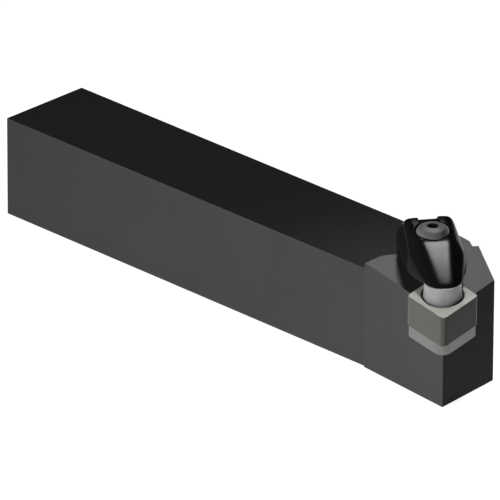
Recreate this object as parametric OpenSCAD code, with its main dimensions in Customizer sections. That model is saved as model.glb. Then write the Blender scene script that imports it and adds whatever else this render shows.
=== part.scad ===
// Left-hand turning tool holder with an 80 degree insert under a top clamp.
// The origin is at the middle of the back of the shank's bottom face.
// +X runs along the shank to the cutting tip, +Z is up, and the cutting side faces -Y.

/* [Shank] */
// Width of the shank
shank_w = 25; // [20:1:32]
// Height of the shank, and of the cutting tip above its bottom
shank_h = 25; // [22:1:32]
// Length from the back of the shank to the cutting tip
tool_l = 150; // [110:5:200]
// Distance from the far side of the shank to the cutting tip
tip_reach = 32; // [30:0.5:36]

/* [Head] */
// Length of the head, from its shoulder to the cutting tip
head_l = 31.8; // [29:0.1:38]
// Width of the 45 degree shoulder where the head stands out from the shank
shoulder = 0.5; // [0.2:0.1:1.5]
// Angle at which the head's near side leaves the shank's direction
side_angle = 5.4; // [3:0.1:8]
// Distance of the head's front face behind the cutting tip
front_setback = 3.4; // [2.5:0.1:4.5]
// Angle of the head's front face
front_angle = 4.8; // [2:0.1:8]
// Width of the head's front face
front_w = 18.7; // [16:0.1:20]
// Angle of the chamfer on the head's far front corner
far_angle = 32; // [25:1:45]
// Drop from the insert's top to the head's raised top
head_drop = 2.32; // [1.5:0.01:3.5]
// Ledge left on the shank beside the raised part
ledge = 1.8; // [1:0.1:3]
// Angle of the raised part's rear wall
rear_angle = 6.6; // [0:0.1:12]
// Depth of the small notch in the raised part's far edge
notch = 1.1; // [0.6:0.1:1.6]
// Length of the notch
notch_l = 2.9; // [2:0.1:4]

/* [Insert] */
// Circle that fits inside the insert
insert_ic = 12.7; // [11.5:0.1:13.5]
// Thickness of the insert
insert_t = 7.94; // [6:0.01:9]
// Radius of the insert's corners
corner_r = 1.2; // [0.8:0.1:1.6]
// Tilt of the insert's top, the same way along and across the shank
rake = 6; // [4:0.5:8]
// Radius of the dimple in the insert's faces
dimple_r = 5.1; // [4.9:0.05:5.4]
// Depth of the dimple
dimple_depth = 0.9; // [0.5:0.1:1.5]
// Radius of the dimple's flat floor
dimple_floor_r = 4.2; // [3.8:0.05:4.4]

/* [Shim] */
// Thickness of the shim
shim_t = 3.18; // [2.5:0.01:4.5]
// Distance that the shim's edges stand back from the insert's
shim_setback = 0.35; // [0.2:0.05:0.8]
// Radius of the shim's corner under the cutting tip
shim_nose_r = 2.4; // [1.6:0.1:3]
// Radius of the shim's two side corners
shim_side_r = 0.6; // [0.4:0.1:1.5]
// Thread diameter of the shim's screw
shim_screw_d = 4; // [3:0.5:4.5]
// Diameter of the shim screw's countersunk head
shim_head_d = 7.4; // [6.6:0.1:7.8]
// Length of the shim's screw, its head included
shim_screw_l = 10; // [8:0.5:11]
// Depth of the shim screw's head below the shim's top
shim_flush = 0.3; // [0.1:0.05:0.5]
// Radius and depth of the shim screw's hexagon socket
shim_socket = 1.5; // [1:0.1:1.6]
// Radius of the relief drilled in the pocket's inner corner
relief_r = 0.8; // [0.6:0.05:1]
// Distance of the relief's middle from the pocket's sharp corner
relief_inset = 0.65; // [0.4:0.05:0.8]

/* [Clamp] */
// Angle of the clamp off the shank's direction, seen from above
clamp_angle = 36; // [33:0.5:39]
// Distance from the clamp's screw to the centre of the insert
clamp_reach = 13.3; // [12.5:0.1:14]
// Distance from the clamp's screw to the middle of its broadest part
broad_reach = 4.5; // [3:0.1:6]
// Radius of the clamp's broadest part
broad_r = 7.1; // [6.6:0.1:7.6]
// Radius of the clamp's nose
nose_r = 4.6; // [4.4:0.1:5.2]
// Height of the clamp's underside above the middle of the insert
clamp_gap = 2.6; // [2:0.1:3]
// Step up from the clamp's underside to its nose
nose_step = 1.2; // [0.6:0.1:1.6]
// Height of the clamp from its underside to the top of its ears
clamp_h = 8.4; // [8:0.1:9.5]
// Thickness of the clamp's broadest part at its edge
edge_h = 1.5; // [1:0.1:2]
// Thickness of the clamp's nose at its edge
nose_h = 0.4; // [0.2:0.1:1]
// Height of the clamp's upright sides
side_h = 5.3; // [4.5:0.1:6]
// Width of the clamp at the top of its sides
side_w = 13; // [12.4:0.1:13.4]
// Distance from the clamp's screw to its front lip
lip_reach = 6.5; // [6:0.1:7]
// Width of the front lip
lip_w = 9.8; // [9:0.1:10.4]
// Radius of the front lip's edge
lip_r = 2.5; // [2:0.1:3]
// Drop from the tops of the ears to the front lip
lip_drop = 1.1; // [0.8:0.1:1.6]
// Distance from the clamp's screw to its two ears
ear_back = 5.9; // [5.5:0.1:6.5]
// Distance across the outsides of the ears
ear_w = 11; // [10:0.1:12]
// Radius of the ears' edges
ear_r = 1.8; // [1.4:0.1:2.2]
// Width of the slot between the ears
ear_slot = 4.8; // [3.5:0.1:5.4]
// Width of the clamp's rear
rear_w = 13.6; // [12.8:0.1:14]
// Radius of the clamp's rear corners
rear_r = 3; // [2:0.1:4]
// Height of the upright part of the clamp's rear
rear_h = 3; // [2:0.1:4]
// Forward lean of the clamp's rear
rear_lean = 2.2; // [1.5:0.1:3]
// Drop from the tops of the ears to the rear's shoulders
rear_drop = 1.4; // [1:0.1:2]
// Distance from the clamp's screw to the front of its heel
heel_back = 9.2; // [8.8:0.1:10]
// Length of the heel along the clamp
heel_l = 3; // [2:0.1:4]
// Width of the heel
heel_w = 12.4; // [11:0.1:13]

/* [Pressure pad] */
// Radius of the pad where it stands out of the insert's dimple
pad_r = 4.5; // [4.2:0.05:4.6]
// Radius of the pad under the clamp's nose
pad_neck_r = 4.25; // [3.8:0.05:4.3]
// Radius of the pad's stem in the nose
stem_r = 3; // [2:0.1:3.5]
// Height of the pad's stem in the nose
stem_h = 0.8; // [0.4:0.1:1]
// Clearance between the pad's foot and the dimple
pad_gap = 0.15; // [0.05:0.05:0.3]

/* [Clamp screw] */
// Thread diameter of the clamp's screw
screw_d = 4; // [3:0.25:4.5]
// Length of the screw under its head
screw_l = 16; // [14:0.5:17]
// Diameter of the screw's head
head_d = 7.9; // [7.6:0.1:8.4]
// Height of the screw's head
head_h = 2.4; // [2:0.1:3]
// Height of the screw's head above the clamp's ears
head_proud = 0.7; // [0:0.1:1]
// Rounding of the head's upper edge
head_edge = 1; // [0.5:0.1:1.3]
// Distance across the flats of the head's hexagon socket
socket_af = 2.5; // [2:0.5:3]
// Depth of the head's socket
socket_depth = 1.4; // [1:0.1:1.8]
// Chamfer on the screw's tip
tip_chamfer = 0.6; // [0.3:0.1:1]

/* [Spring] */
// Outer diameter of the spring
spring_d = 5.8; // [5.4:0.1:6]
// Diameter of the spring's wire
wire_d = 0.6; // [0.4:0.05:0.6]
// Turns of the spring
spring_turns = 4; // [3:0.5:5]
// Depth of the well in the head that holds the spring
well_depth = 1.2; // [1:0.1:2]

/* [Fits] */
// Radial clearance of a thread in its hole
thread_gap = 0.05; // [0.02:0.01:0.1]
// Radial clearance of the screw where it passes through the clamp
screw_gap = 0.1; // [0.05:0.01:0.1]
// Clearance round the screw's head
head_gap = 0.3; // [0.2:0.05:0.5]
// Clearance round the spring in its well
spring_gap = 0.25; // [0.15:0.05:0.3]
// Clearance between the heel and the wall in front of it
heel_gap = 0.3; // [0.2:0.05:0.5]
// Radial clearance of the shim's screw in the shim
shim_gap = 0.1; // [0.05:0.05:0.2]

/* [Hidden] */
$fn = 64;
hull_fn = 32;
over = 1;
big = 60;

insert_angle = 80;
lead = (90 - insert_angle) / 2;
tilt = atan(tan(rake) * sqrt(2));
along_side = [-cos(lead), sin(lead)];
along_front = [-sin(lead), cos(lead)];
to_centre = [-cos(45), cos(45)];
to_tip = -to_centre;
far_y = shank_w / 2;
near_y = -shank_w / 2;
tip_y = far_y - tip_reach;

// The insert's sharp corner lies just outside its rounded one
corner_out = corner_r * (cos(45) / sin(insert_angle / 2) - 1);
corner = [tool_l + corner_out, tip_y - corner_out];
insert_side = insert_ic / sin(insert_angle);
half_diagonal = insert_side * cos(insert_angle / 2);
centre = corner + half_diagonal * cos(tilt) * to_centre;
centre_z = shank_h + half_diagonal * sin(tilt);
floor_drop = insert_t + shim_t;

// The head's corners, seen from above
head_x = tool_l - head_l;
shoulder_end = [head_x + shoulder, near_y - shoulder];
side_way = [cos(side_angle), -sin(side_angle)];
front_way = [-sin(front_angle), cos(front_angle)];
near_front = meet(shoulder_end, side_way, [tool_l - front_setback, tip_y], front_way);
far_front = near_front + front_w * front_way;
ledge_y = far_y - ledge;
rear_top = shoulder_end + (ledge_y - shoulder_end.y) * [tan(rear_angle), 1];
ledge_end = [chamfer_x(ledge_y), ledge_y];

// The clamp's screw stands upright behind the insert
screw = centre - clamp_reach * [cos(clamp_angle), -sin(clamp_angle)];
under_z = centre_z + clamp_gap;
nose_z = under_z + nose_step;
ear_z = under_z + clamp_h;
head_z = ear_z + head_proud;
seat_z = head_z - head_h;
screw_r = screw_d / 2;
thread_r = screw_r + thread_gap;
screw_tip_z = seat_z - screw_l;
socket_turn = -9.5;
rear_x = rear_r - heel_back - heel_l;
rear_y = rear_w / 2 - rear_r;

// The spring stands in a well round the screw
well_z = rake_z(screw, head_drop) - well_depth;
spring_r = (spring_d - wire_d) / 2;
spring_l = under_z - well_z;
spring_steps = 20;
spring_sides = 8;

// The shim's screw is countersunk
shim_cone = (shim_head_d - shim_screw_d) / 2;
shim_screw_r = shim_screw_d / 2;
shim_head_r = shim_head_d / 2;
shim_tip = 0.5;

function meet(p, u, q, v) = p + u * cross(q - p, v) / cross(u, v);
function rake_z(p, drop) =
    shank_h + tan(rake) * (corner.x - p.x + p.y - corner.y) - drop / cos(tilt);
function chamfer_x(y) = far_front.x - (y - far_front.y) / tan(far_angle);
function rhomb(ic) = let (side = ic / sin(insert_angle), a = side * along_side, b = side * along_front)
    [for (p = [[0, 0], b, a + b, a]) p - (a + b) / 2];

module at_corner() translate([corner.x, corner.y, shank_h]) rotate(a = tilt, v = [1, 1, 0]) children();
module at_insert() at_corner() translate(half_diagonal * to_centre) children();
module at_shim() at_insert() translate([0, 0, -insert_t]) children();
module at_screw() translate([screw.x, screw.y, 0]) rotate(-clamp_angle) children();

// A convex outline with a true round corner at each point
module rounded(points, radii) {
    n = len(points);
    ways = [for (i = [0 : n - 1]) (points[(i + 1) % n] - points[i]) / norm(points[(i + 1) % n] - points[i])];
    halves = [for (i = [0 : n - 1]) acos(-ways[i] * ways[(i + n - 1) % n]) / 2];
    polygon([for (i = [0 : n - 1], way = [-ways[(i + n - 1) % n], ways[i]])
        points[i] + way * radii[i] / tan(halves[i])]);
    for (i = [0 : n - 1]) {
        inward = ways[i] - ways[(i + n - 1) % n];
        translate(points[i] + inward / norm(inward) * radii[i] / sin(halves[i])) circle(radii[i]);
    }
}

// Holder: shank and head in one piece
module holder_body() color("#4b4a4b") difference() {
    union() {
        linear_extrude(shank_h) polygon([[0, near_y], [head_x, near_y], shoulder_end, near_front,
            far_front, [chamfer_x(far_y), far_y], [0, far_y]]);
        raised_part();
    }
    at_corner() translate([-big, -big, -head_drop]) cube([2 * big, 2 * big, big]);
    pocket();
    spring_well();
    at_shim() translate([0, 0, -shim_screw_l - over])
        cylinder(h = shim_screw_l, r = shim_screw_r + thread_gap);
}

// Raised part of the head, with a slot for the clamp's heel and a small notch in its far edge
module raised_part() difference() {
    linear_extrude(shank_h + big / 2) polygon([shoulder_end, near_front, far_front, ledge_end, rear_top]);
    at_screw() translate([-heel_back + heel_gap - big, -big, shank_h])
        cube([big, big + rear_w / 2, big]);
    translate([ledge_end.x, ledge_end.y, shank_h]) linear_extrude(big)
        polygon([[0, 0], [0, over], [-notch_l, over], [-notch_l, 0], [-notch_l / 3, -notch]]);
}

// Pocket for the insert and its shim, with relief in its inner corner
module pocket() at_corner() translate(insert_side * (along_side + along_front))
    translate([0, 0, -floor_drop]) {
        linear_extrude(big)
            polygon([[0, 0], -big * along_front, -big * (along_front + along_side), -big * along_side]);
        translate(relief_inset * to_tip) cylinder(h = big, r = relief_r);
    }

// Threaded hole for the clamp's screw, under a well for its spring
module spring_well() at_screw() {
    translate([0, 0, screw_tip_z - over]) cylinder(h = big, r = thread_r);
    translate([0, 0, well_z]) cylinder(h = big, r = spring_d / 2 + spring_gap);
}

// Insert: an 80 degree rhomb with a round dimple in both faces
module insert() color("#a2a19d") at_insert() difference() {
    translate([0, 0, -insert_t]) linear_extrude(insert_t)
        rounded(rhomb(insert_ic), [corner_r, corner_r, corner_r, corner_r]);
    dimple();
    translate([0, 0, -insert_t]) mirror([0, 0, 1]) dimple();
}

module dimple() translate([0, 0, -dimple_depth])
    cylinder(h = dimple_depth, r1 = dimple_floor_r, r2 = dimple_r);

// Shim: a smaller plate of the insert's form, countersunk for its screw
module shim() color("#858482") at_shim() difference() {
    translate([0, 0, -shim_t]) linear_extrude(shim_t)
        rounded(rhomb(insert_ic - 2 * shim_setback), [shim_nose_r, shim_side_r, shim_nose_r, shim_side_r]);
    translate([0, 0, -shim_flush]) {
        translate([0, 0, -shim_cone]) cylinder(h = shim_cone, r1 = shim_screw_r, r2 = shim_head_r);
        cylinder(h = shim_flush + over, r = shim_head_r);
        translate([0, 0, -big]) cylinder(h = big - shim_cone / 2, r = shim_screw_r + shim_gap);
    }
}

// Screw of the shim: a countersunk head with a hexagon socket
module shim_screw() color("#555557") at_shim() translate([0, 0, -shim_flush]) difference() {
    rotate_extrude() polygon([[0, 0], [shim_head_r, 0], [shim_screw_r, -shim_cone],
        [shim_screw_r, -shim_screw_l + shim_tip], [shim_screw_r - shim_tip, -shim_screw_l], [0, -shim_screw_l]]);
    translate([0, 0, -shim_socket]) cylinder(h = shim_socket + over, r = shim_socket, $fn = 6);
}

// Clamp: a black finger with a nose over the insert and a heel on the shank
module clamp() color("#121213") at_screw() difference() {
    union() {
        clamp_form();
        heel();
    }
    translate([0, 0, shank_h]) cylinder(h = big, r = screw_r + screw_gap);
    translate([0, 0, seat_z]) cylinder(h = big, r = head_d / 2 + head_gap);
    translate([-big, -ear_slot / 2, seat_z]) cube([big, ear_slot, big]);
    translate([clamp_reach, 0, under_z - over]) {
        cylinder(h = over + nose_step, r = nose_r);
        cylinder(h = over + nose_step + stem_h, r = stem_r);
    }
}

// The clamp's outer form: a hull over its nose, broad middle, sides, rear corners, ears and lip
module clamp_form() hull() {
    knob([clamp_reach, 0, nose_z], nose_r, nose_h);
    knob([broad_reach, 0, under_z], broad_r, edge_h);
    knob([0, 0, under_z], side_w / 2, side_h);
    for (side = [-1, 1]) {
        knob([rear_x, side * rear_y, under_z], rear_r, rear_h);
        ball([rear_x + rear_lean, side * rear_y, ear_z - rear_drop - rear_r], rear_r);
        ball([-ear_back, side * (ear_w / 2 - ear_r), ear_z - ear_r], ear_r);
        ball([lip_reach - lip_r, side * (lip_w / 2 - lip_r), ear_z - lip_drop - lip_r], lip_r);
    }
}

module knob(place, r, h) translate(place) cylinder(h = h, r = r, $fn = hull_fn);

module ball(place, r) translate(place) sphere(r, $fn = hull_fn);

// The clamp's heel: a block with a round foot, as deep as the shank's top
module heel() translate([-heel_back - heel_l / 2, heel_w / 2, 0]) rotate([90, 0, 0])
    linear_extrude(heel_w) {
        translate([-heel_l / 2, shank_h + heel_l / 2]) square([heel_l, under_z - shank_h - heel_l / 2 + over]);
        translate([0, shank_h + heel_l / 2]) circle(heel_l / 2);
    }

// Pressure pad: stands in the insert's dimple and carries a stem in the clamp's nose
module pressure_pad() color("#8f8e92") {
    difference() {
        at_insert() translate([0, 0, -dimple_depth]) {
            cylinder(h = dimple_depth, r1 = dimple_floor_r - pad_gap, r2 = pad_r);
            translate([0, 0, dimple_depth])
                cylinder(h = clamp_gap + nose_step + over, r1 = pad_r, r2 = pad_neck_r);
        }
        translate([centre.x - big, centre.y - big, nose_z]) cube(2 * big);
    }
    at_screw() translate([clamp_reach, 0, nose_z - over]) cylinder(h = over + stem_h, r = stem_r);
}

// Screw of the clamp: round head with a hexagon socket
module clamp_screw() color("#646466") at_screw() difference() {
    union() {
        translate([0, 0, seat_z]) rotate_extrude() {
            square([head_d / 2 - head_edge, head_h]);
            square([head_d / 2, head_h - head_edge]);
            translate([head_d / 2 - head_edge, head_h - head_edge]) circle(head_edge);
        }
        translate([0, 0, screw_tip_z + tip_chamfer]) cylinder(h = screw_l - tip_chamfer, r = screw_r);
        translate([0, 0, screw_tip_z]) cylinder(h = tip_chamfer, r1 = screw_r - tip_chamfer, r2 = screw_r);
    }
    translate([0, 0, head_z - socket_depth]) rotate(socket_turn)
        cylinder(h = socket_depth + over, r = socket_af / sqrt(3), $fn = 6);
}

// Spring: a helix from the well's floor to the clamp's underside
module clamp_spring() color("#8a8a8c") at_screw() translate([0, 0, well_z]) {
    n = spring_sides;
    last = spring_steps * spring_turns;
    sides = [for (i = [0 : last - 1], k = [0 : n - 1])
        [i * n + k, i * n + (k + 1) % n, (i + 1) * n + (k + 1) % n, (i + 1) * n + k]];
    ends = [[for (k = [0 : n - 1]) n - 1 - k], [for (k = [0 : n - 1]) last * n + k]];
    polyhedron([for (i = [0 : last]) each spring_ring(i)], concat(sides, ends));
}

// One ring of points round the spring's wire
function spring_ring(i) = let (angle = 360 * i / spring_steps,
        z = wire_d / 2 + (spring_l - wire_d) * i / (spring_steps * spring_turns))
    [for (k = [0 : spring_sides - 1]) let (t = 360 * k / spring_sides, r = spring_r + wire_d / 2 * cos(t))
        [r * cos(angle), r * sin(angle), z + wire_d / 2 * sin(t)]];

holder_body();
insert();
shim();
shim_screw();
clamp();
pressure_pad();
clamp_screw();
clamp_spring();
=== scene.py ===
import math
import bpy
from mathutils import Matrix, Vector


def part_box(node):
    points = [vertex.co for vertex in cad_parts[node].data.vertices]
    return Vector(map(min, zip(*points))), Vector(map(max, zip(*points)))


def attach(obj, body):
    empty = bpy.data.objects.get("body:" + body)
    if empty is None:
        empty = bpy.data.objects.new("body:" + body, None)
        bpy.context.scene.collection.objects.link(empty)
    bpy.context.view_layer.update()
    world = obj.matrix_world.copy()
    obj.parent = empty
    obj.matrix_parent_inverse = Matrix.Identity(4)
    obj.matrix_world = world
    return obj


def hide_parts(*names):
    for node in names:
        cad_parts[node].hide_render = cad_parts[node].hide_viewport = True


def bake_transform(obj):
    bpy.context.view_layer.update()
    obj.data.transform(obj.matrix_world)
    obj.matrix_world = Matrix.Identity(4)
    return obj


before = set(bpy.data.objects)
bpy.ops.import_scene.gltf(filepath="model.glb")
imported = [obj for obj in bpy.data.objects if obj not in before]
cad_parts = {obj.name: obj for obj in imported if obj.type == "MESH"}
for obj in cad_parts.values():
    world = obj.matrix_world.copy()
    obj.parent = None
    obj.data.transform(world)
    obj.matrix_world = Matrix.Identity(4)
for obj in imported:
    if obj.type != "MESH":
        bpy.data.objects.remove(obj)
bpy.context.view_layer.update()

print("frame loaded")


# pieces are drawn in millimetres and brought to the frame, which is in metres, at the end
mmInMetre = 1000
near = 0.01                    # places that are closer than this are taken as one
meshCare = {"copyMerge": 0.002, "copyFlat": 0.4, "spinMerge": 0.001, "seamMerge": 0.0005,
            "bisectMerge": 0.0001}
roundness = {"knobSides": 96, "ballSegments": 40, "ballRings": 20}
cutter = {"over": 1, "tall": 20, "long": 30}          # cutters reach past what they cut


def selectOnly(piece):
    bpy.ops.object.select_all(action="DESELECT")
    piece.select_set(True)
    bpy.context.view_layer.objects.active = piece


def openEdit(piece, kind="EDGE"):
    selectOnly(piece)
    bpy.ops.object.mode_set(mode="EDIT")
    bpy.ops.mesh.select_mode(type=kind)
    bpy.ops.mesh.select_all(action="DESELECT")


def closeEdit():
    bpy.ops.object.mode_set(mode="OBJECT")


def newPiece(name):
    bpy.ops.object.select_all(action="DESELECT")
    piece = bpy.data.objects.new(name, bpy.data.meshes.new(name))
    bpy.context.scene.collection.objects.link(piece)
    return piece


def nameIt(name):
    piece = bpy.context.active_object
    piece.name = name
    piece.data.name = name
    return piece


def applyModifier(piece, kind, **settings):
    selectOnly(piece)
    modifier = piece.modifiers.new(kind.lower(), kind)
    for key, value in settings.items():
        setattr(modifier, key, value)
    bpy.ops.object.modifier_apply(modifier=modifier.name)


def combine(piece, other, operation):
    applyModifier(piece, "BOOLEAN", operation=operation, solver="EXACT", object=other)
    bpy.data.objects.remove(other)


def copyOfNode(node, name):
    selectOnly(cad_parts[node])
    bpy.ops.object.duplicate()
    piece = nameIt(name)
    piece.parent = None
    piece.matrix_world = Matrix.Identity(4)
    for key in [k for k in piece.keys() if k.startswith("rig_")]:
        del piece[key]
    piece.data.materials.clear()
    piece.data.transform(Matrix.Scale(mmInMetre, 4))
    # the node's loose triangles are merged into whole flat faces
    openEdit(piece, "VERT")
    bpy.ops.mesh.select_all(action="SELECT")
    bpy.ops.mesh.customdata_custom_splitnormals_clear()
    bpy.ops.mesh.remove_doubles(threshold=meshCare["copyMerge"])
    bpy.ops.mesh.dissolve_limited(angle_limit=math.radians(meshCare["copyFlat"]))
    closeEdit()
    return piece


def toFrame(piece, place=Matrix.Identity(4)):
    selectOnly(piece)
    piece.matrix_world = Matrix.Scale(1 / mmInMetre, 4) @ place
    bpy.ops.object.transform_apply(location=True, rotation=True, scale=True)


def smoothShade(piece, angle):
    selectOnly(piece)
    bpy.ops.object.shade_smooth_by_angle(angle=math.radians(angle))


def keepFlat(piece, angle):
    # large faces stay flat, and only the narrow breaks between them are shaded round
    smoothShade(piece, angle)
    applyModifier(piece, "WEIGHTED_NORMAL", mode="FACE_AREA", weight=100, keep_sharp=True)


def faceOut(piece):
    openEdit(piece, "FACE")
    bpy.ops.mesh.select_all(action="SELECT")
    bpy.ops.mesh.remove_doubles(threshold=meshCare["seamMerge"])
    bpy.ops.mesh.normals_make_consistent(inside=False)
    closeEdit()


def breakEdges(piece, wanted, width, segments):
    openEdit(piece)            # in and out again, so that no edge stays chosen
    closeEdit()
    for edge in piece.data.edges:
        a, b = (piece.data.vertices[i].co for i in edge.vertices)
        edge.select = wanted(edge, a, b)
    bpy.ops.object.mode_set(mode="EDIT")
    bpy.ops.mesh.bevel(offset=width, segments=segments, profile=0.5, affect="EDGES", clamp_overlap=False)
    closeEdit()


def bendOfEdges(piece):
    # the angle in degrees between the two faces at each edge
    faces = {}
    for face in piece.data.polygons:
        for key in face.edge_keys:
            faces.setdefault(key, []).append(face.normal)
    return {key: math.degrees(n[0].angle(n[1], 0)) if len(n) == 2 else 180 for key, n in faces.items()}


# places read from the frame, in millimetres

def boxMm(node):
    low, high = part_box(node)
    return low * mmInMetre, high * mmInMetre


screwLow, screwHigh = boxMm("clamp_screw")
springLow, springHigh = boxMm("clamp_spring")
screwAxis = (screwLow + screwHigh) / 2
underZ = springHigh.z                    # underside of the clamp
wellZ = springLow.z                      # floor of the spring's well
earZ = boxMm("clamp")[1].z               # tops of the clamp's ears
headHeight = 2.4                         # of the clamp's screw
seatZ = screwHigh.z - headHeight         # seat of that head in the clamp
clampTurn = math.radians(-36)
clampPlace = Matrix.Translation((screwAxis.x, screwAxis.y, 0)) @ Matrix.Rotation(clampTurn, 4, "Z")

# the insert's corner, with its sharp point as the seat's origin and the seat sloping both ways
tip = {"reach": 150, "side": -19.5, "height": 25, "angle": 80, "lead": 5, "slope": 6, "cornerRadius": 1.2}
halfAngle = tip["angle"] / 2
tilt = math.atan(math.tan(math.radians(tip["slope"])) * math.sqrt(2))
cornerShare = math.cos(math.radians(halfAngle + tip["lead"])) / math.sin(math.radians(halfAngle)) - 1
cornerOut = tip["cornerRadius"] * cornerShare
corner = Vector((tip["reach"] + cornerOut, tip["side"] - cornerOut, tip["height"]))
seatPlace = Matrix.Translation(corner) @ Matrix.Rotation(tilt, 4, Vector((1, 1, 0)))
seatBack = seatPlace.inverted()


def makeGroup(name, inputs, outputs):
    tree = bpy.data.node_groups.new(name, "ShaderNodeTree")
    for label, kind, value in inputs:
        socket = tree.interface.new_socket(label, in_out="INPUT", socket_type=kind)
        if value is not None:
            socket.default_value = value
    for label, kind in outputs:
        tree.interface.new_socket(label, in_out="OUTPUT", socket_type=kind)
    return tree, tree.nodes.new("NodeGroupInput"), tree.nodes.new("NodeGroupOutput")


def addNode(tree, kind, links=None, **settings):
    node = tree.nodes.new(kind)
    for key, value in settings.items():
        setattr(node, key, value)
    for socket, value in (links or {}).items():
        if isinstance(value, bpy.types.NodeSocket):
            tree.links.new(value, node.inputs[socket])
        else:
            node.inputs[socket].default_value = value
    return node


def buildGrain():
    # long fine lines left by grinding or milling, along one direction
    tree, given, result = makeGroup("grindingLines", [
        ("Coordinates", "NodeSocketVector", None), ("Stretch", "NodeSocketVector", (1, 1, 1)),
        ("Lines", "NodeSocketFloat", 4000)], [("Tone", "NodeSocketFloat"), ("Height", "NodeSocketFloat")])
    stretched = addNode(tree, "ShaderNodeVectorMath", {
        0: given.outputs["Coordinates"], 1: given.outputs["Stretch"]}, operation="MULTIPLY")
    lines = addNode(tree, "ShaderNodeTexNoise", {
        "Vector": stretched.outputs[0], "Scale": given.outputs["Lines"], "Detail": 4.0, "Roughness": 0.65})
    tone = addNode(tree, "ShaderNodeMapRange", {
        "Value": lines.outputs["Fac"], "From Min": 0.3, "From Max": 0.7})
    tree.links.new(tone.outputs["Result"], result.inputs["Tone"])
    tree.links.new(lines.outputs["Fac"], result.inputs["Height"])
    return tree


def buildMottle():
    # soft clouds and fine specks, put out between Low and High
    tree, given, result = makeGroup("mottling", [
        ("Coordinates", "NodeSocketVector", None), ("Cloud Scale", "NodeSocketFloat", 60),
        ("Speck Scale", "NodeSocketFloat", 3000), ("Speck Share", "NodeSocketFloat", 0.3),
        ("Low", "NodeSocketFloat", 0.9), ("High", "NodeSocketFloat", 1.1)],
        [("Factor", "NodeSocketFloat"), ("Specks", "NodeSocketFloat")])
    clouds = addNode(tree, "ShaderNodeTexNoise", {
        "Vector": given.outputs["Coordinates"], "Scale": given.outputs["Cloud Scale"], "Detail": 3.0})
    specks = addNode(tree, "ShaderNodeTexNoise", {
        "Vector": given.outputs["Coordinates"], "Scale": given.outputs["Speck Scale"], "Detail": 2.0})
    blend = addNode(tree, "ShaderNodeMix", {
        0: given.outputs["Speck Share"], 2: clouds.outputs["Fac"], 3: specks.outputs["Fac"]},
        data_type="FLOAT")
    spread = addNode(tree, "ShaderNodeMapRange", {
        "Value": blend.outputs[0], "From Min": 0.3, "From Max": 0.7,
        "To Min": given.outputs["Low"], "To Max": given.outputs["High"]})
    tree.links.new(spread.outputs["Result"], result.inputs["Factor"])
    tree.links.new(specks.outputs["Fac"], result.inputs["Specks"])
    return tree


def buildWear():
    # where an edge is rubbed bright: a rounded normal leaves the true one near edges
    tree, given, result = makeGroup("edgeWear", [
        ("Coordinates", "NodeSocketVector", None), ("Width", "NodeSocketFloat", 0.0004),
        ("Contrast", "NodeSocketFloat", 3), ("Patch Scale", "NodeSocketFloat", 400),
        ("Patchiness", "NodeSocketFloat", 0.5)], [("Mask", "NodeSocketFloat")])
    rounded = addNode(tree, "ShaderNodeBevel", {"Radius": given.outputs["Width"]}, samples=6)
    true = addNode(tree, "ShaderNodeNewGeometry")
    likeness = addNode(tree, "ShaderNodeVectorMath", {
        0: rounded.outputs["Normal"], 1: true.outputs["Normal"]}, operation="DOT_PRODUCT")
    apart = addNode(tree, "ShaderNodeMath", {0: 1.0, 1: likeness.outputs["Value"]}, operation="SUBTRACT")
    strong = addNode(tree, "ShaderNodeMath", {
        0: apart.outputs[0], 1: given.outputs["Contrast"]}, operation="MULTIPLY")
    patches = addNode(tree, "ShaderNodeTexNoise", {
        "Vector": given.outputs["Coordinates"], "Scale": given.outputs["Patch Scale"], "Detail": 3.0})
    broken = addNode(tree, "ShaderNodeMapRange", {
        "Value": patches.outputs["Fac"], "From Min": 0.35, "From Max": 0.6})
    share = addNode(tree, "ShaderNodeMix", {
        0: given.outputs["Patchiness"], 2: 1.0, 3: broken.outputs["Result"]}, data_type="FLOAT")
    mask = addNode(tree, "ShaderNodeMath", {0: strong.outputs[0], 1: share.outputs[0]},
                   operation="MULTIPLY", use_clamp=True)
    tree.links.new(mask.outputs[0], result.inputs["Mask"])
    return tree


grindingLines = buildGrain()
mottling = buildMottle()
edgeWear = buildWear()


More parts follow.
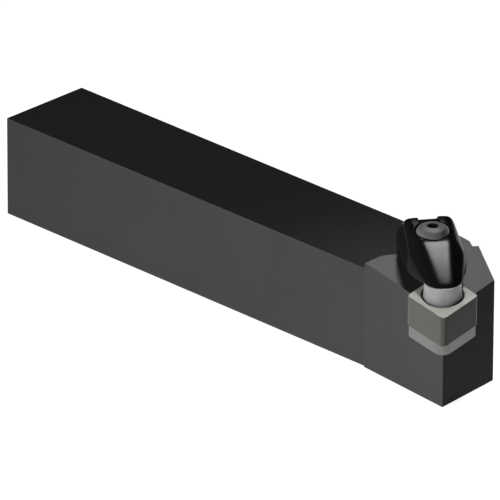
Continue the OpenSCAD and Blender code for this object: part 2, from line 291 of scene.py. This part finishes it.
def makeFinish(name, look):
    material = bpy.data.materials.new(name)
    material.use_nodes = True
    tree = material.node_tree
    shader = tree.nodes["Principled BSDF"]
    place = addNode(tree, "ShaderNodeTexCoord").outputs["Object"]
    mottle = addNode(tree, "ShaderNodeGroup", {
        "Coordinates": place, "Cloud Scale": look["cloudScale"], "Speck Scale": look["speckScale"],
        "Speck Share": look["speckShare"], "Low": look["low"], "High": look["high"]}, node_tree=mottling)
    grain = addNode(tree, "ShaderNodeGroup", {
        "Coordinates": place, "Stretch": look["stretch"], "Lines": look["lines"]}, node_tree=grindingLines)
    wear = addNode(tree, "ShaderNodeGroup", {
        "Coordinates": place, "Width": look["wearWidth"], "Contrast": look["wearContrast"],
        "Patchiness": look["patchiness"]}, node_tree=edgeWear)

    toned = addNode(tree, "ShaderNodeVectorMath", {
        0: look["colour"][:3], 1: mottle.outputs["Factor"]}, operation="MULTIPLY")
    # sockets 6 and 7 of the mix node are its two colours
    worn = addNode(tree, "ShaderNodeMix", {
        0: wear.outputs["Mask"], 6: toned.outputs[0], 7: look["wornColour"]}, data_type="RGBA")
    tree.links.new(worn.outputs[2], shader.inputs["Base Color"])
    rough = addNode(tree, "ShaderNodeMapRange", {
        "Value": grain.outputs["Tone"], "To Min": look["roughness"][0], "To Max": look["roughness"][1]})
    tree.links.new(rough.outputs["Result"], shader.inputs["Roughness"])
    specks = addNode(tree, "ShaderNodeBump", {
        "Height": mottle.outputs["Specks"], "Strength": look["speckBump"], "Distance": look["bumpDepth"]})
    lines = addNode(tree, "ShaderNodeBump", {
        "Height": grain.outputs["Height"], "Strength": look["lineBump"], "Distance": look["bumpDepth"],
        "Normal": specks.outputs["Normal"]})
    tree.links.new(lines.outputs["Normal"], shader.inputs["Normal"])
    shader.inputs["Metallic"].default_value = look["metallic"]
    shader.inputs["Specular IOR Level"].default_value = look["specular"]
    shader.inputs["Specular Tint"].default_value = (look["edgeTint"],) * 3 + (1,)
    return material


plainLook = {"colour": (0.05, 0.05, 0.05, 1), "wornColour": (0.1, 0.1, 0.1, 1), "roughness": (0.4, 0.5),
             "metallic": 0.0, "specular": 0.5, "edgeTint": 1.0, "cloudScale": 60, "speckScale": 3000,
             "speckShare": 0.35, "low": 0.93, "high": 1.07, "stretch": (0.03, 1, 1), "lines": 3500,
             "speckBump": 0.03, "lineBump": 0.05, "bumpDepth": 0.00001, "wearWidth": 0.0004,
             "wearContrast": 1.0, "patchiness": 0.7}

blackenedSteel = makeFinish("blackenedSteel", {
    **plainLook, "colour": (0.034, 0.034, 0.0345, 1), "specular": 0.05, "edgeTint": 0.6,
    "roughness": (0.2, 0.24), "lineBump": 0.015, "speckBump": 0.01})
coatedFlank = makeFinish("coatedFlank", {
    **plainLook, "colour": (0.056, 0.055, 0.051, 1), "wornColour": (0.3, 0.29, 0.27, 1), "specular": 0.12,
    "stretch": (1, 1, 0.05), "roughness": (0.3, 0.36)})
# a pale copy of the insert's colour for its upper face: painted highlight
paintedLitRake = makeFinish("paintedLitRake", {
    **plainLook, "colour": (0.47, 0.46, 0.431, 1), "wornColour": (0.5, 0.49, 0.46, 1), "specular": 0.3,
    "stretch": (1, 1, 1), "lines": 2500, "roughness": (0.38, 0.44)})
groundShim = makeFinish("groundShim", {
    **plainLook, "colour": (0.15, 0.148, 0.144, 1), "wornColour": (0.25, 0.25, 0.25, 1), "metallic": 0.7,
    "stretch": (1, 1, 0.05), "roughness": (0.32, 0.4)})
glossyBlack = makeFinish("glossyBlack", {
    **plainLook, "colour": (0.009, 0.009, 0.0093, 1), "wornColour": (0.016, 0.016, 0.016, 1),
    "metallic": 0.5, "specular": 0.04, "edgeTint": 0.45, "roughness": (0.17, 0.2), "stretch": (1, 1, 1),
    "lines": 900, "speckBump": 0.01, "lineBump": 0.01})
groundPad = makeFinish("groundPad", {
    **plainLook, "colour": (0.235, 0.235, 0.243, 1), "wornColour": (0.35, 0.35, 0.35, 1), "metallic": 0.5,
    "stretch": (1, 1, 0.05), "roughness": (0.3, 0.36)})
darkScrew = makeFinish("darkScrew", {
    **plainLook, "colour": (0.075, 0.075, 0.077, 1), "wornColour": (0.2, 0.2, 0.2, 1), "specular": 0.5,
    "stretch": (1, 1, 1), "roughness": (0.42, 0.5)})
springSteel = makeFinish("springSteel", {
    **plainLook, "colour": (0.22, 0.22, 0.23, 1), "wornColour": (0.3, 0.3, 0.3, 1), "metallic": 0.8,
    "stretch": (1, 1, 1), "roughness": (0.3, 0.36)})
print("finishes made")


def dress(piece, material, node, body=None):
    # a piece without a body is not attached to one
    piece.data.materials.clear()
    piece.data.materials.append(material)
    if body:
        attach(piece, body)
    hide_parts(node)


holder = {"edgeBreak": 0.09, "breakSegments": 2, "shortestEdge": 2.0, "sharpBend": 20, "shadeAngle": 35}


def buildHolder():
    piece = copyOfNode("holder_body", "holderBody")
    bends = bendOfEdges(piece)

    def sharp(edge, a, b):
        return (a - b).length > holder["shortestEdge"] and bends[edge.key] > holder["sharpBend"]

    breakEdges(piece, sharp, holder["edgeBreak"], holder["breakSegments"])
    toFrame(piece)
    keepFlat(piece, holder["shadeAngle"])
    dress(piece, blackenedSteel, "holder_body", "holder")
    print("holder built", len(piece.data.polygons))


buildHolder()


insert = {"thickness": 7.94, "inscribed": 12.7, "land": 0.14, "landSegments": 1, "rimReach": 5.9,
          "dimpleDepth": 0.9, "dimpleReach": 5.4, "dimpleShift": 0.38, "depthMargin": 0.1,
          "rakeLikeness": 0.9, "shadeAngle": 32}
insertSide = insert["inscribed"] / math.sin(math.radians(tip["angle"]))
insertMiddle = Vector((-1, 1)).normalized() * (insertSide * math.cos(math.radians(halfAngle)))


def fromMiddle(place):
    return (Vector(place[:2]) - insertMiddle).length


def rimBeyond(height, reach):
    def wanted(edge, a, b):
        first, second = seatBack @ a, seatBack @ b
        level = abs(first.z - height) < near and abs(second.z - height) < near
        return level and fromMiddle(first) > reach
    return wanted


def shiftDimpleRim(piece):
    # the rim sits a little back from the tip, so that the pad nearly meets it in front
    back = seatPlace.to_3x3() @ Vector((-1, 1, 0)).normalized()
    for vertex in piece.data.vertices:
        place = seatBack @ vertex.co
        if abs(place.z) < near and fromMiddle(place) < insert["dimpleReach"]:
            vertex.co += back * insert["dimpleShift"]


def paintLitRake(piece):
    # the upper face and the floor of its dimple are painted pale, a painted highlight for the light the top
    # catches; the sloping dimple walls keep the dark flank colour as painted shade
    piece.data.materials.append(paintedLitRake)
    rake = (seatPlace.to_3x3() @ Vector((0, 0, 1))).normalized()
    lowest = -insert["dimpleDepth"] - insert["depthMargin"]
    for face in piece.data.polygons:
        height = (seatBack @ (face.center * mmInMetre)).z
        if face.normal.dot(rake) > insert["rakeLikeness"] and height > lowest:
            face.material_index = 1


def buildInsert():
    piece = copyOfNode("insert", "insertPlate")
    shiftDimpleRim(piece)
    for height in (0, -insert["thickness"]):
        breakEdges(piece, rimBeyond(height, insert["rimReach"]), insert["land"], insert["landSegments"])
    toFrame(piece)
    keepFlat(piece, insert["shadeAngle"])
    dress(piece, coatedFlank, "insert", "holder")
    paintLitRake(piece)
    print("insert built", len(piece.data.polygons))


buildInsert()


shim = {"thickness": 3.18, "edgeBreak": 0.15, "breakSegments": 2, "rimReach": 5.4, "shadeAngle": 32}


def buildShim():
    piece = copyOfNode("shim", "shimPlate")
    for height in (-insert["thickness"], -insert["thickness"] - shim["thickness"]):
        breakEdges(piece, rimBeyond(height, shim["rimReach"]), shim["edgeBreak"], shim["breakSegments"])
    toFrame(piece)
    keepFlat(piece, shim["shadeAngle"])
    dress(piece, groundShim, "shim", "holder")
    print("shim built", len(piece.data.polygons))


buildShim()


# reaches run along the finger from the screw's axis, forwards, and heights from the finger's underside
clamp = {"broadReach": 4.5, "broadRadius": 7.1, "broadHeight": 1.5, "shoulderRadius": 6.5,
         "shoulderHeight": 4.3, "sideWidth": 13.2, "sideHeight": 3.6, "noseReach": 13.3, "noseRadius": 4.6,
         "noseStep": 1.2, "noseHeight": 0.15, "lipReach": 5.6, "lipWidth": 11.0, "lipRadius": 2.3,
         "lipDrop": 1.0, "browReach": 16.5, "browSide": 1.75, "browRadius": 1.0, "browRise": 0.53,
         "belly": 0.08, "bellySteps": 5, "rearEnd": 12.2, "rearWidth": 13.6, "rearRadius": 3.0,
         "rearHeight": 3.0, "rearLean": 2.2, "rearDrop": 1.4, "earBack": 5.9, "earWidth": 12.0,
         "earRadius": 1.8, "earSlot": 4.8, "boreRadius": 2.1, "wellRadius": 4.25, "stemRadius": 3.0,
         "stemHeight": 0.8, "heelFront": 9.2, "heelLength": 3.0, "heelWidth": 12.4, "heelInside": 1,
         "footShare": 0.48, "footSegments": 10, "shankTop": 25.0, "softVoxel": 0.25, "softness": 9.0,
         "softRounds": 3, "voxel": 0.15, "edgeEase": 0.5, "edgeRounds": 5}


def knob(x, y, z, radius, height, sides=roundness["knobSides"]):
    bpy.ops.mesh.primitive_cylinder_add(vertices=sides, radius=radius, depth=height,
                                        location=(x, y, z + height / 2))


def ball(x, y, z, radius):
    bpy.ops.mesh.primitive_uv_sphere_add(segments=roundness["ballSegments"],
                                         ring_count=roundness["ballRings"], radius=radius,
                                         location=(x, y, z))


def block(name, middle, size):
    bpy.ops.mesh.primitive_cube_add(size=1, location=middle)
    piece = nameIt(name)
    piece.scale = size
    bpy.ops.object.transform_apply(location=True, rotation=True, scale=True)
    return piece


def remesh(piece, voxel):
    selectOnly(piece)
    piece.data.remesh_voxel_size = voxel
    piece.data.remesh_voxel_adaptivity = 0
    bpy.ops.object.voxel_remesh()


def addRear(side):
    rearX = clamp["rearRadius"] - clamp["rearEnd"]
    rearY = side * (clamp["rearWidth"] / 2 - clamp["rearRadius"])
    rearZ = earZ - clamp["rearDrop"] - clamp["rearRadius"]
    knob(rearX, rearY, underZ, clamp["rearRadius"], clamp["rearHeight"])
    ball(rearX + clamp["rearLean"], rearY, rearZ, clamp["rearRadius"])
    earY = side * (clamp["earWidth"] / 2 - clamp["earRadius"])
    ball(-clamp["earBack"], earY, earZ - clamp["earRadius"], clamp["earRadius"])


def addFront(side):
    # the sloping front bulges a little between its lip and its brow
    lip = (clamp["lipReach"] - clamp["lipRadius"], clamp["lipWidth"] / 2 - clamp["lipRadius"],
           earZ - clamp["lipDrop"] - clamp["lipRadius"], clamp["lipRadius"])
    browTop = underZ + clamp["noseStep"] + clamp["noseHeight"] + clamp["browRise"]
    brow = (clamp["browReach"], clamp["browSide"], browTop - clamp["browRadius"], clamp["browRadius"])
    for step in range(clamp["bellySteps"] + 1):
        share = step / clamp["bellySteps"]
        x, y, z, radius = (a + (b - a) * share for a, b in zip(lip, brow))
        bulge = clamp["belly"] * 4 * share * (1 - share)       # the whole belly at half the way
        ball(x, side * y, z + bulge, radius)


def shapeFinger():
    piece = newPiece("clampFinger")
    openEdit(piece)
    knob(clamp["noseReach"], 0, underZ + clamp["noseStep"], clamp["noseRadius"], clamp["noseHeight"])
    knob(clamp["broadReach"], 0, underZ, clamp["broadRadius"], clamp["broadHeight"])
    knob(clamp["broadReach"], 0, underZ, clamp["shoulderRadius"], clamp["shoulderHeight"])
    knob(0, 0, underZ, clamp["sideWidth"] / 2, clamp["sideHeight"])
    for side in (-1, 1):
        addRear(side)
        addFront(side)
    bpy.ops.mesh.select_all(action="SELECT")
    bpy.ops.mesh.convex_hull()
    closeEdit()
    # the creases of the forging melt into large soft corners
    remesh(piece, clamp["softVoxel"])
    applyModifier(piece, "LAPLACIANSMOOTH", lambda_factor=clamp["softness"], iterations=clamp["softRounds"],
                  use_volume_preserve=True, lambda_border=0.0)
    return piece


def makeHeel():
    # a block with a round foot
    floorZ = clamp["shankTop"]
    heel = block("heel", (-clamp["heelFront"] - clamp["heelLength"] / 2, 0,
                          (floorZ + underZ + clamp["heelInside"]) / 2),
                 (clamp["heelLength"], clamp["heelWidth"], underZ + clamp["heelInside"] - floorZ))

    def footEdge(edge, a, b):
        return abs(a.z - floorZ) < near and abs(b.z - floorZ) < near and abs(a.x - b.x) < near

    breakEdges(heel, footEdge, clamp["heelLength"] * clamp["footShare"], clamp["footSegments"])
    return heel


def cutFinger(piece):
    knob(0, 0, clamp["shankTop"] - cutter["over"], clamp["boreRadius"], cutter["long"])
    combine(piece, nameIt("bore"), "DIFFERENCE")
    knob(0, 0, seatZ, clamp["wellRadius"], cutter["tall"])
    combine(piece, nameIt("headWell"), "DIFFERENCE")
    slot = block("earSlot", (-cutter["long"] / 2, 0, seatZ + cutter["tall"] / 2),
                 (cutter["long"], clamp["earSlot"], cutter["tall"]))
    combine(piece, slot, "DIFFERENCE")
    low, step = underZ - cutter["over"], cutter["over"] + clamp["noseStep"]
    knob(clamp["noseReach"], 0, low, clamp["noseRadius"], step)
    combine(piece, nameIt("spotFace"), "DIFFERENCE")
    knob(clamp["noseReach"], 0, low, clamp["stemRadius"], step + clamp["stemHeight"])
    combine(piece, nameIt("stemHole"), "DIFFERENCE")


def buildClamp():
    piece = shapeFinger()
    combine(piece, makeHeel(), "UNION")
    cutFinger(piece)
    # the edges of the cuts are eased
    remesh(piece, clamp["voxel"])
    applyModifier(piece, "SMOOTH", factor=clamp["edgeEase"], iterations=clamp["edgeRounds"])
    toFrame(piece, clampPlace)
    selectOnly(piece)
    bpy.ops.object.shade_smooth()
    dress(piece, glossyBlack, "clamp", "clamp")
    print("clamp built", len(piece.data.polygons))


buildClamp()


# the pad between the clamp's nose and the insert
pad = {"edgeBreak": 0.12, "breakSegments": 2, "sharpBend": 30, "shadeAngle": 30}


def buildPad():
    piece = copyOfNode("pressure_pad", "pressurePad")
    bends = bendOfEdges(piece)
    breakEdges(piece, lambda edge, a, b: bends[edge.key] > pad["sharpBend"], pad["edgeBreak"],
               pad["breakSegments"])
    toFrame(piece)
    keepFlat(piece, pad["shadeAngle"])
    dress(piece, groundPad, "pressure_pad", "clamp")
    print("pad built", len(piece.data.polygons))


buildPad()


# crest and root are shares of the pitch, and the drop of the crown is a share of its height
screw = {"radius": 2.0, "neckGap": 0.05, "pitch": 0.7, "threadDepth": 0.38, "threadTop": 29.6,
         "crestStart": 0.4, "crestEnd": 0.52, "rootStart": 0.92, "startTurns": 1.5, "spareTurns": 3,
         "tipChamfer": 0.6, "blankSpare": 0.1, "blankUnder": 0.001, "headRadius": 3.85, "crown": 0.3,
         "crownReach": 0.5, "crownDrop": 0.22, "shoulder": 1.45, "shoulderTurn": 86, "shoulderSteps": 9,
         "underBreak": 0.2, "socketAcross": 2.5, "socketDepth": 1.4, "socketTurn": 56.5, "socketMouth": 0.12,
         "drillShare": 0.98, "drillDepth": 0.5, "drillSink": 0.15, "drillSides": 32, "steps": 48,
         "shadeAngle": 28}


def spunPiece(name, profile):
    # a profile of radius and height, turned round the screw's axis
    piece = newPiece(name)
    ends = [(i, i + 1) for i in range(len(profile) - 1)]
    piece.data.from_pydata([(r, 0, z) for r, z in profile], ends, [])
    openEdit(piece, "VERT")
    bpy.ops.mesh.select_all(action="SELECT")
    bpy.ops.mesh.spin(steps=screw["steps"], angle=2 * math.pi, center=(0, 0, 0), axis=(0, 0, 1),
                      use_auto_merge=True)
    bpy.ops.mesh.select_all(action="SELECT")
    bpy.ops.mesh.remove_doubles(threshold=meshCare["spinMerge"])
    bpy.ops.mesh.normals_make_consistent(inside=False)
    closeEdit()
    return piece


def cutLevel(piece, height, keepAbove):
    openEdit(piece, "FACE")
    bpy.ops.mesh.select_all(action="SELECT")
    bpy.ops.mesh.bisect(plane_co=(0, 0, height), plane_no=(0, 0, 1), use_fill=True, clear_inner=keepAbove,
                        clear_outer=not keepAbove, threshold=meshCare["bisectMerge"])
    closeEdit()


def headProfile():
    top, radius, neck = screwHigh.z, screw["headRadius"], screw["radius"] - screw["neckGap"]
    edgeR, edgeZ = radius - screw["shoulder"], top - screw["crown"] - screw["shoulder"]
    turns = [math.radians(screw["shoulderTurn"] * i / screw["shoulderSteps"])
             for i in range(screw["shoulderSteps"] + 1)]
    shoulder = [(edgeR + screw["shoulder"] * math.cos(t), edgeZ + screw["shoulder"] * math.sin(t))
                for t in reversed(turns)]
    return [(0, top), (edgeR * screw["crownReach"], top - screw["crown"] * screw["crownDrop"]), *shoulder,
            (radius, seatZ + screw["underBreak"]), (radius - screw["underBreak"], seatZ),
            (neck, seatZ), (neck, screw["threadTop"]), (0, screw["threadTop"])]


def cutSocket(piece):
    across = screw["socketAcross"] / math.sqrt(3)      # from the middle to a corner of the hexagon
    bottom = screwHigh.z - screw["socketDepth"]
    knob(0, 0, bottom, across, screw["socketDepth"] + cutter["over"], 6)
    hexagon = nameIt("hexagon")
    hexagon.rotation_euler.z = math.radians(screw["socketTurn"])
    bpy.ops.object.transform_apply(location=True, rotation=True, scale=True)
    combine(piece, hexagon, "DIFFERENCE")
    bpy.ops.mesh.primitive_cone_add(vertices=screw["drillSides"], radius1=0,
                                    radius2=screw["socketAcross"] / 2 * screw["drillShare"],
                                    depth=screw["drillDepth"], location=(0, 0, bottom - screw["drillSink"]))
    combine(piece, nameIt("drillPoint"), "DIFFERENCE")
    mouth = across + screw["socketMouth"]
    bpy.ops.mesh.primitive_cone_add(vertices=screw["steps"], radius1=0, radius2=mouth * 2, depth=mouth * 2,
                                    location=(0, 0, screwHigh.z))
    combine(piece, nameIt("socketMouth"), "DIFFERENCE")


def makeThread():
    # one turn of the thread's profile, carried up along the screw
    outer, pitch, tipZ = screw["radius"], screw["pitch"], screwLow.z
    root, chamfer = outer - screw["threadDepth"], screw["tipChamfer"]
    thread = newPiece("thread")
    thread.data.from_pydata([(root, 0, 0), (outer, 0, pitch * screw["crestStart"]),
                             (outer, 0, pitch * screw["crestEnd"]), (root, 0, pitch * screw["rootStart"]),
                             (root, 0, pitch)], [(0, 1), (1, 2), (2, 3), (3, 4)], [])
    turns = int((screw["threadTop"] - tipZ) / pitch) + screw["spareTurns"]
    thread.data.transform(Matrix.Translation((0, 0, tipZ - pitch * screw["startTurns"])))
    applyModifier(thread, "SCREW", angle=2 * math.pi, screw_offset=pitch, iterations=turns,
                  steps=screw["steps"], render_steps=screw["steps"], axis="Z", use_merge_vertices=True,
                  merge_threshold=meshCare["seamMerge"])
    cutLevel(thread, screw["threadTop"] + screw["blankSpare"], False)
    cutLevel(thread, tipZ, True)
    faceOut(thread)
    # the point is chamfered by what it keeps inside a turned blank
    low, high = tipZ - screw["blankUnder"], screw["threadTop"] + cutter["over"]
    wide, shoulder = outer + screw["blankSpare"], tipZ + chamfer + screw["blankSpare"]
    blank = spunPiece("blank", [(0, low), (outer - chamfer, low), (wide, shoulder), (wide, high), (0, high)])
    combine(thread, blank, "INTERSECT")
    return thread


def buildScrew():
    piece = spunPiece("clampScrew", headProfile())
    cutSocket(piece)
    thread = makeThread()
    selectOnly(piece)
    thread.select_set(True)
    bpy.ops.object.join()
    toFrame(piece, clampPlace)
    smoothShade(piece, screw["shadeAngle"])
    dress(piece, darkScrew, "clamp_screw", "screw")
    print("screw built", len(piece.data.polygons))


buildScrew()


spring = {"outer": 2.9, "wire": 0.6, "turns": 4, "endTurn": 0.75, "steps": 40, "wireSides": 12}


def coilPlaces(low, high):
    # a helix whose end turns lie flat
    middle = spring["outer"] - spring["wire"] / 2
    places = []
    for i in range(spring["steps"] * spring["turns"] + 1):
        share = i / (spring["steps"] * spring["turns"])
        rise = (share * spring["turns"] - spring["endTurn"]) / (spring["turns"] - 2 * spring["endTurn"])
        turn = 2 * math.pi * i / spring["steps"]
        places.append((middle * math.cos(turn), middle * math.sin(turn),
                       low + (high - low) * min(1, max(0, rise))))
    return places


def buildSpring():
    half = spring["wire"] / 2
    low, high = wellZ + half, underZ - half
    places = coilPlaces(low, high)
    bpy.ops.object.select_all(action="DESELECT")
    wire = bpy.data.curves.new("coilSpring", "CURVE")
    wire.dimensions = "3D"
    path = wire.splines.new("POLY")
    path.points.add(len(places) - 1)
    for point, place in zip(path.points, places):
        point.co = (*place, 1)
    wire.bevel_depth = half
    wire.bevel_resolution = spring["wireSides"] // 4
    wire.use_fill_caps = True
    piece = bpy.data.objects.new("coilSpring", wire)
    bpy.context.scene.collection.objects.link(piece)
    selectOnly(piece)
    bpy.ops.object.convert(target="MESH")
    piece = nameIt("coilSpring")
    faceOut(piece)
    toFrame(piece, clampPlace)
    selectOnly(piece)
    bpy.ops.object.shade_smooth()
    dress(piece, springSteel, "clamp_spring")
    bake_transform(piece)
    print("spring built", len(piece.data.polygons))


buildSpring()


# the shim's screw stays as the frame has it, and gets its finish
shimScrew = {"node": "shim_screw", "finish": darkScrew, "shadeAngle": 30}
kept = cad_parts[shimScrew["node"]]
kept.data.materials.clear()
kept.data.materials.append(shimScrew["finish"])
smoothShade(kept, shimScrew["shadeAngle"])


# the stage, the lamps and the camera are in metres
stage = {"floorSize": 8, "floorMiddle": (0.1, 0), "floorDrop": 0.0002, "floorGrey": 0.4, "floorWhite": 0.92,
         "floorRoughness": 0.9, "worldGrey": 0.045}


def buildFloor():
    bpy.ops.object.select_all(action="DESELECT")
    bpy.ops.mesh.primitive_plane_add(size=stage["floorSize"],
                                     location=(*stage["floorMiddle"], -stage["floorDrop"]))
    floor = nameIt("floor")
    paper = bpy.data.materials.new("paleFloor")
    paper.use_nodes = True
    tree = paper.node_tree
    shader = tree.nodes["Principled BSDF"]
    shader.inputs["Base Color"].default_value = (stage["floorGrey"],) * 3 + (1,)
    shader.inputs["Roughness"].default_value = stage["floorRoughness"]
    shader.inputs["Specular IOR Level"].default_value = 0.0
    shader.inputs["Emission Color"].default_value = (1, 1, 1, 1)
    # white to the camera, and the same white in metal and glass
    path = addNode(tree, "ShaderNodeLightPath")
    shown = path.outputs["Is Camera Ray"]
    for ray in ("Is Glossy Ray", "Is Transmission Ray"):
        either = addNode(tree, "ShaderNodeMath", {0: shown, 1: path.outputs[ray]}, operation="MAXIMUM")
        shown = either.outputs[0]
    white = addNode(tree, "ShaderNodeMath", {0: shown, 1: stage["floorWhite"]}, operation="MULTIPLY")
    tree.links.new(white.outputs[0], shader.inputs["Emission Strength"])
    floor.data.materials.append(paper)


def buildWorld():
    world = bpy.context.scene.world or bpy.data.worlds.new("studio")
    bpy.context.scene.world = world
    world.use_nodes = True
    tree = world.node_tree
    tree.nodes.clear()
    grey = (stage["worldGrey"],) * 3 + (1,)
    light = addNode(tree, "ShaderNodeBackground", {"Color": grey, "Strength": 1.0})
    addNode(tree, "ShaderNodeOutputWorld", {"Surface": light.outputs[0]})


# mirrored: the lamp is seen in shiny faces; lights: it lights matt ones
aimPoint = (0.13, -0.01, 0.03)
whiteWatts = 4                 # for each square metre of a softbox that is seen as white
softboxes = {
    "sideBox": {"azimuth": -91.5, "elevation": 1.5, "distance": 0.28, "size": (0.06, 0.034), "glow": 152,
                "mirrored": False, "lights": True},
    "backBox": {"azimuth": 134.3, "elevation": 43, "distance": 1.1, "size": (0.2, 0.18), "glow": 10.9,
                "mirrored": True, "lights": False},
    "highBox": {"azimuth": 118, "elevation": 66.6, "distance": 1.0, "size": (0.14, 0.12), "glow": 64,
                "mirrored": True, "lights": False},
    "farBox": {"azimuth": 101, "elevation": 4, "distance": 1.2, "size": (0.5, 0.16), "glow": 55,
               "mirrored": False, "lights": True},
    "endBox": {"azimuth": 185, "elevation": 4, "distance": 1.2, "size": (0.4, 0.16), "glow": 62,
               "mirrored": False, "lights": True}}
tipLamp = {"target": (0.141, -0.011, 0.026), "azimuth": 90, "elevation": 84, "distance": 0.8, "cone": 4.0,
           "radius": 0.04, "watts": 52.0}


def aimLamp(kind, name, target, azimuth, elevation, distance):
    level, rise = math.radians(azimuth), math.radians(elevation)
    toLamp = Vector((math.cos(rise) * math.cos(level), math.cos(rise) * math.sin(level), math.sin(rise)))
    place = Vector(target) + distance * toLamp
    bpy.ops.object.light_add(type=kind, location=place)
    lamp = bpy.context.active_object
    lamp.name = name
    lamp.rotation_euler = (Vector(target) - place).to_track_quat("-Z", "Y").to_euler()
    return lamp


def addSoftbox(name, azimuth, elevation, distance, size, glow, mirrored, lights):
    lamp = aimLamp("AREA", name, aimPoint, azimuth, elevation, distance)
    lamp.data.shape = "RECTANGLE"
    lamp.data.size, lamp.data.size_y = size
    lamp.data.energy = glow * whiteWatts * size[0] * size[1]
    lamp.visible_glossy = mirrored
    lamp.visible_diffuse = lights


def addTipLamp(target, azimuth, elevation, distance, cone, radius, watts):
    lamp = aimLamp("SPOT", "tipLamp", target, azimuth, elevation, distance)
    lamp.data.spot_size = math.radians(cone)
    lamp.data.spot_blend = 1.0
    lamp.data.shadow_soft_size = radius
    lamp.data.energy = watts
    lamp.visible_glossy = False


buildFloor()
buildWorld()
for name, softbox in softboxes.items():
    addSoftbox(name, **softbox)
addTipLamp(**tipLamp)

view = {"eye": (1.66826, -1.63198, 1.08443), "forward": (-0.6333, 0.6462, -0.4258),
        "down": (0.3009, -0.3013, -0.9048), "lens": 773.6, "sensor": 36, "farthest": 50}


def addCamera():
    forward, down = Vector(view["forward"]).normalized(), Vector(view["down"]).normalized()
    right = down.cross(forward).normalized()
    up = -forward.cross(right).normalized()
    bpy.ops.object.camera_add()
    camera = bpy.context.active_object
    camera.name = "camera"
    turn = Matrix((right, up, -forward)).transposed().to_4x4()
    camera.matrix_world = Matrix.Translation(view["eye"]) @ turn
    camera.data.lens = view["lens"]
    camera.data.sensor_width = view["sensor"]
    camera.data.clip_end = view["farthest"]
    bpy.context.scene.camera = camera


addCamera()
bpy.context.scene.view_settings.view_transform = "Standard"
print("stage, light and camera set")
